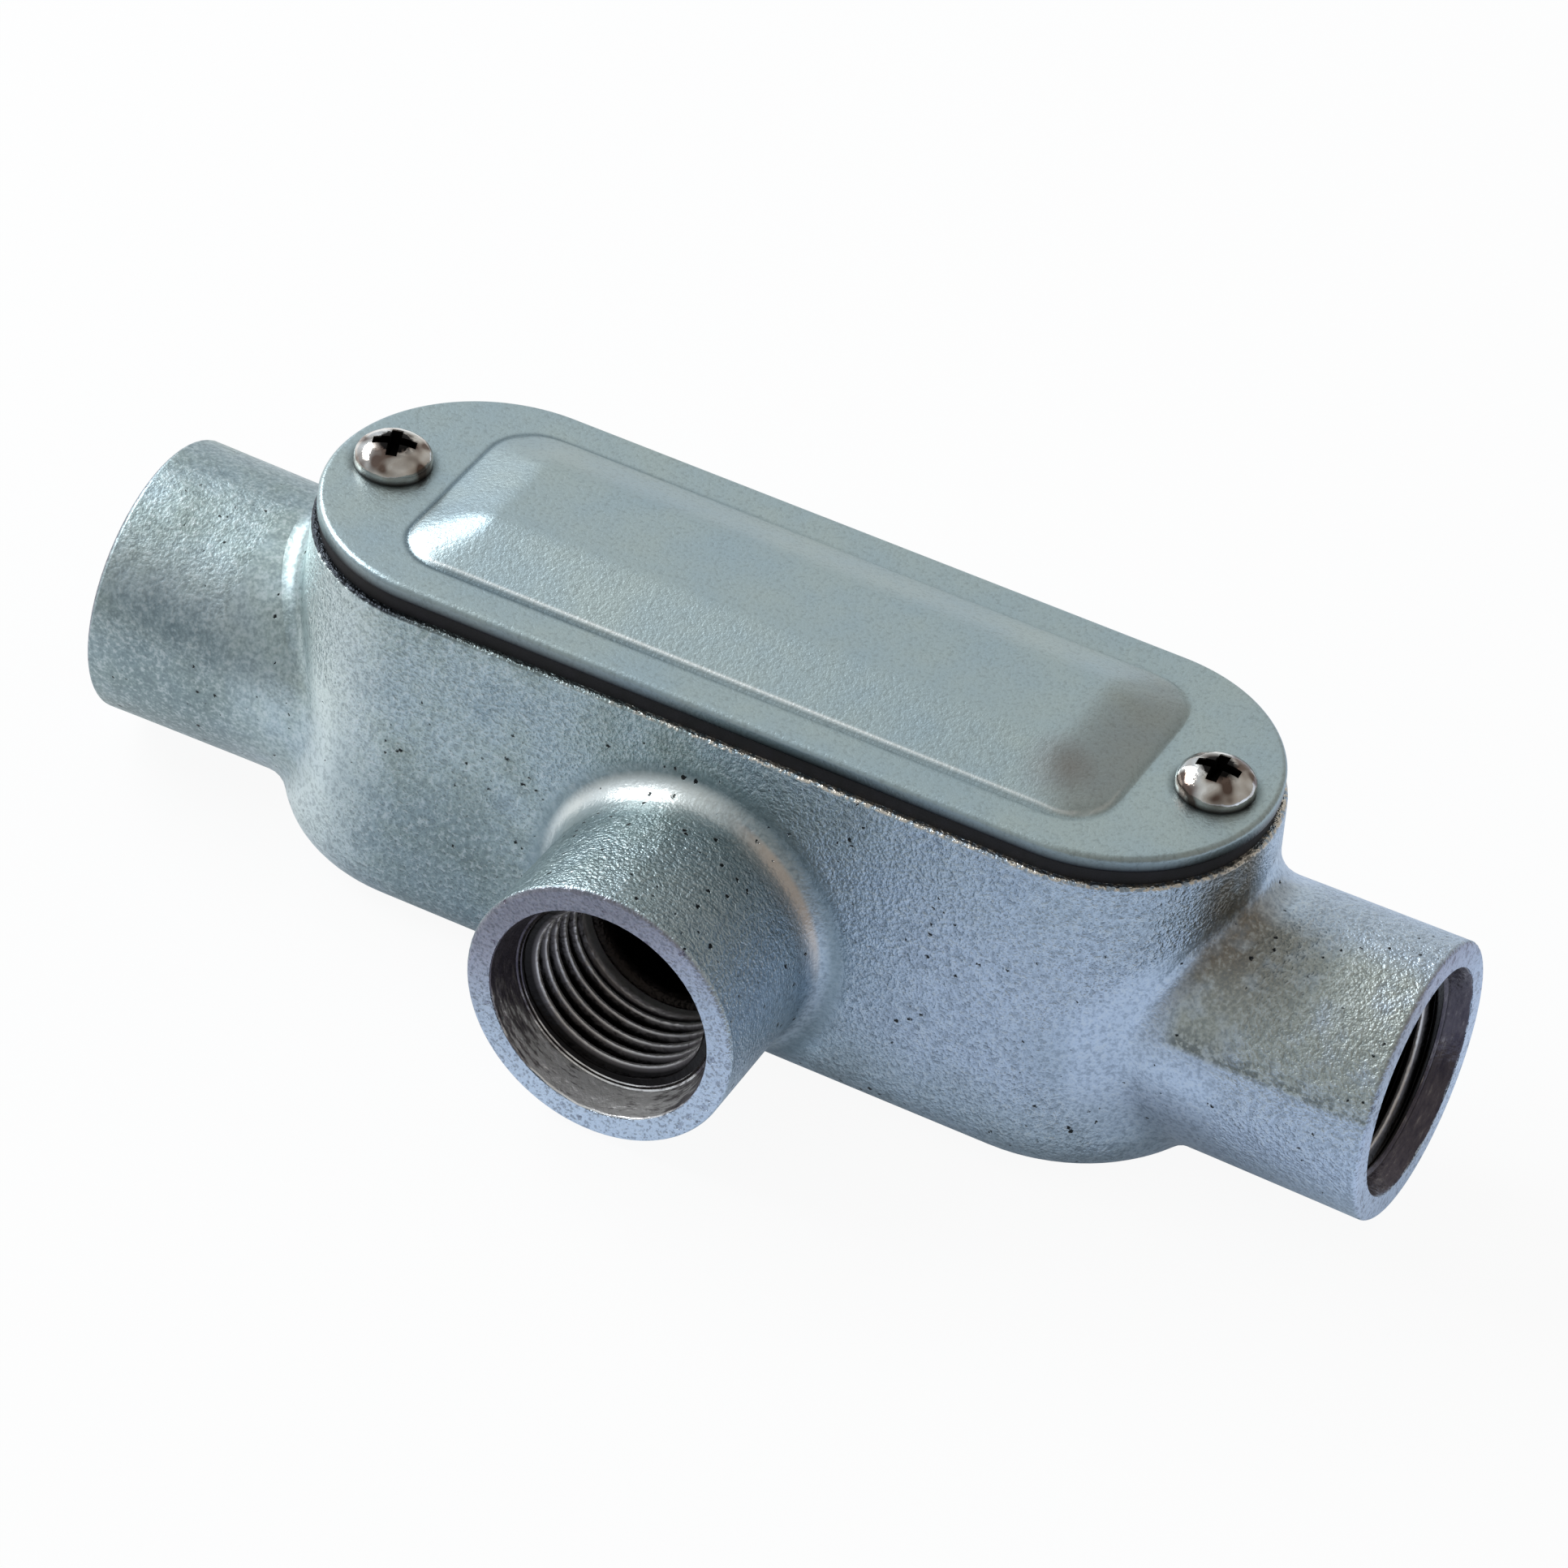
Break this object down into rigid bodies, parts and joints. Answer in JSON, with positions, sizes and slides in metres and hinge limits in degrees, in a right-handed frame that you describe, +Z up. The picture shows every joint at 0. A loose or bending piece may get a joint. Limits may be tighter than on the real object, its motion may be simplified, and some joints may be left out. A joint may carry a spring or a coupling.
{
  "type": "conduit body",
  "caption": "T-shaped conduit body: round-ended cast metal housing with threaded hubs on both ends and one side, closed by a gasketed pressed cover held with screws.",
  "frame": {"origin": "middle of the flat underside, below the crossing of the hub axes", "axes": "+X along the run towards the right hub, -Y out of the side hub, +Z up to the cover"},
  "size_m": [0.1416, 0.0547, 0.0425],
  "materials": {
    "casting": "zinc-plated sand casting, dull bluish grey, pitted",
    "gasket": "matt black sheet",
    "cover": "zinc-plated pressed sheet, satin",
    "screw": "bright zinc plate"
  },
  "bodies": {
    "root": {"body": "casting", "gasket": "gasket", "cover": "cover", "left_screw": "screw", "right_screw": "screw"}
  },
  "joints": []
}
